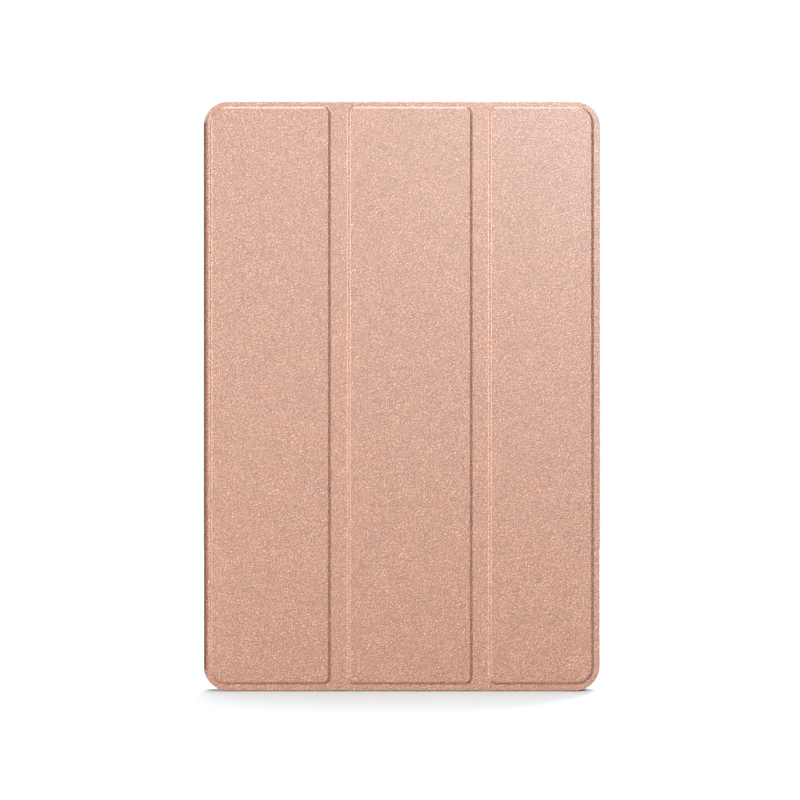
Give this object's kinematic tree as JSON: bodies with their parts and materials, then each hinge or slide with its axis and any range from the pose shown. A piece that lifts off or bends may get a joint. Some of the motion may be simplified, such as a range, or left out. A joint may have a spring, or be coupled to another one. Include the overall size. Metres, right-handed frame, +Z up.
{
  "type": "tablet computer",
  "caption": "Tablet computer in a closed tri-fold folio with a hinged spine, raised cover panels, a moulded shell, side keys and a sliding card tray",
  "frame": {"origin": "middle of the bottom edge of the closed folio, standing on its short edge", "axes": "+Z up along the folio's long side, cover facing -Y, +X to the right seen from the cover, spine at -X"},
  "size_m": [0.1686, 0.012, 0.2509],
  "materials": {
    "rose_leatherette": "pebbled rose-gold leatherette with a slight metallic sheen",
    "microfibre": "short-napped microfibre lining",
    "stiffener_board": "grey-brown fibre board",
    "shell_plastic": "satin moulded polycarbonate",
    "magnet": "nickel-plated magnet",
    "anodised_aluminium": "bead-blasted anodised aluminium",
    "screen_glass": "polished black-backed cover glass",
    "lens_glass": "coated camera glass",
    "lcd_layers": "smooth dark display layers",
    "backlight_film": "white diffusing film",
    "steel": "plain stamped steel",
    "battery_pouch": "matt laminated foil pouch",
    "circuit_board": "green solder mask",
    "flex_circuit": "amber polyimide film",
    "black_plastic": "matt black moulding"
  },
  "bodies": {
    "root": {"back_shell": "shell_plastic", "back_leather": "rose_leatherette", "back_hinge": "rose_leatherette", "rear_housing": "anodised_aluminium", "cover_glass": "screen_glass", "lcd_cell": "lcd_layers", "backlight_unit": "backlight_film", "mid_plate": "steel", "battery_cell_1": "battery_pouch", "battery_cell_2": "battery_pouch", "battery_board": "circuit_board", "battery_flex": "flex_circuit", "main_board": "circuit_board", "processor_shield": "steel", "memory_shield": "steel", "usb_board": "circuit_board", "usb_receptacle": "steel", "board_link_flex": "flex_circuit", "display_flex": "flex_circuit", "button_flex": "flex_circuit", "card_reader": "steel", "board_screw_1": "steel", "board_screw_2": "steel", "board_screw_3": "steel", "board_screw_4": "steel", "speaker_1": "black_plastic", "speaker_2": "black_plastic", "speaker_3": "black_plastic", "speaker_4": "black_plastic", "antenna_1": "black_plastic", "antenna_2": "black_plastic", "microphone_1": "steel", "microphone_2": "steel", "front_camera": "black_plastic", "rear_camera_module": "black_plastic", "rear_camera_lens": "lens_glass", "rear_camera_ring": "anodised_aluminium"},
    "spine": {"spine_leather": "rose_leatherette", "spine_board": "stiffener_board", "spine_lining": "microfibre", "front_hinge": "rose_leatherette"},
    "panel_1": {"cover_leather_1": "rose_leatherette", "cover_board_1": "stiffener_board", "cover_lining_1": "microfibre", "stand_magnet_1": "magnet", "fold_strip_1": "rose_leatherette"},
    "panel_2": {"cover_leather_2": "rose_leatherette", "cover_board_2": "stiffener_board", "cover_lining_2": "microfibre", "fold_strip_2": "rose_leatherette"},
    "panel_3": {"cover_leather_3": "rose_leatherette", "cover_board_3": "stiffener_board", "cover_lining_3": "microfibre", "stand_magnet_2": "magnet", "wake_magnet": "magnet"},
    "power_key": {"power_button": "anodised_aluminium"},
    "volume_key": {"volume_rocker": "anodised_aluminium"},
    "tray": {"card_tray": "anodised_aluminium"}
  },
  "joints": [
    {"name": "spine_hinge", "type": "hinge", "parent": "root", "child": "spine", "pos_m": [-0.08344, 0.00511, 0.12545], "axis": [0, 0, -1], "range_deg": [0, 178], "deforming": ["back_hinge"]},
    {"name": "cover_hinge", "type": "hinge", "parent": "spine", "child": "panel_1", "pos_m": [-0.08344, -0.00396, 0.12545], "axis": [0, 0, -1], "range_deg": [0, 178], "deforming": ["front_hinge"]},
    {"name": "fold_1", "type": "hinge", "parent": "panel_1", "child": "panel_2", "pos_m": [-0.0266, -0.006, 0.12545], "axis": [0, 0, 1], "range_deg": [-130, 0], "deforming": ["fold_strip_1"]},
    {"name": "fold_2", "type": "hinge", "parent": "panel_2", "child": "panel_3", "pos_m": [0.03355, -0.006, 0.12545], "axis": [0, 0, 1], "range_deg": [-172, 0], "deforming": ["fold_strip_2"]},
    {"name": "power_press", "type": "slide", "parent": "root", "child": "power_key", "axis": [-1, 0, 0], "range_m": [0, 0.00025], "stiffness_N_per_m": 4000},
    {"name": "volume_rock", "type": "hinge", "parent": "root", "child": "volume_key", "pos_m": [0.08015, 0.00108, 0.1928], "axis": [0, 1, 0], "range_deg": [-1.2, 1.2], "stiffness_Nm_per_rad": 0.6},
    {"name": "tray_slide", "type": "slide", "parent": "root", "child": "tray", "axis": [1, 0, 0], "range_m": [0, 0.016]}
  ]
}
